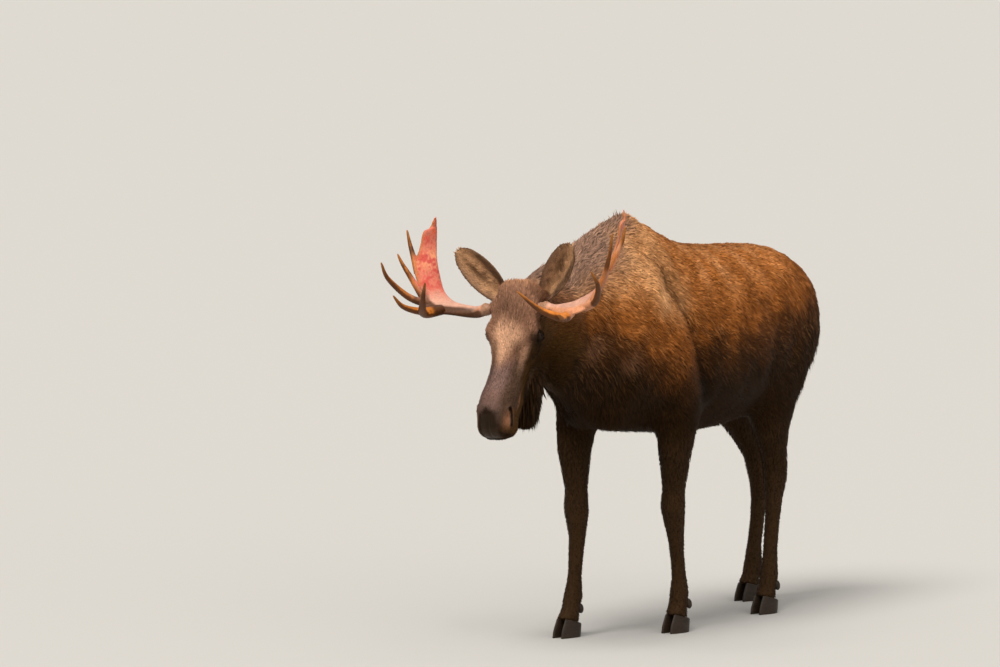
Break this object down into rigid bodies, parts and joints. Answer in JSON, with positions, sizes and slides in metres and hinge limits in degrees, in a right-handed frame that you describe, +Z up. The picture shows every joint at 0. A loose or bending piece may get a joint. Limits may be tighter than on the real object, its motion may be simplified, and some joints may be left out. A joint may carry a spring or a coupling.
{
  "type": "moose",
  "caption": "Standing young bull moose as a still life-size museum model, head lowered, with small forked palm antlers, ears, throat bell, short tail and cloven hooves.",
  "frame": {"origin": "on the floor, under the middle of the whole box", "axes": "+X to the animal's left, +Y to its tail, +Z up; the head looks along -Y"},
  "size_m": [1.0644, 2.6816, 1.8681],
  "materials": {
    "coat": "short to long dark brown fur over hide",
    "antler": "bare reddish bone, freshly shed",
    "hoof": "dark dull horn",
    "eye": "wet dark brown"
  },
  "bodies": {
    "root": {"head": "coat", "neck": "coat", "trunk": "coat", "tail": "coat", "bell": "coat", "ear_left": "coat", "ear_right": "coat", "eye_left": "eye", "eye_right": "eye", "leg_front_left": "coat", "leg_front_right": "coat", "leg_hind_left": "coat", "leg_hind_right": "coat", "hoof_front_left_outer": "hoof", "dewclaw_front_left_outer": "hoof", "hoof_front_left_inner": "hoof", "dewclaw_front_left_inner": "hoof", "hoof_front_right_outer": "hoof", "dewclaw_front_right_outer": "hoof", "hoof_front_right_inner": "hoof", "dewclaw_front_right_inner": "hoof", "hoof_hind_left_outer": "hoof", "dewclaw_hind_left_outer": "hoof", "hoof_hind_left_inner": "hoof", "dewclaw_hind_left_inner": "hoof", "hoof_hind_right_outer": "hoof", "dewclaw_hind_right_outer": "hoof", "hoof_hind_right_inner": "hoof", "dewclaw_hind_right_inner": "hoof", "antler_left_beam": "antler", "antler_left_brow": "antler", "antler_left_palm": "antler", "antler_right_beam": "antler", "antler_right_brow": "antler", "antler_right_palm": "antler"}
  },
  "joints": []
}
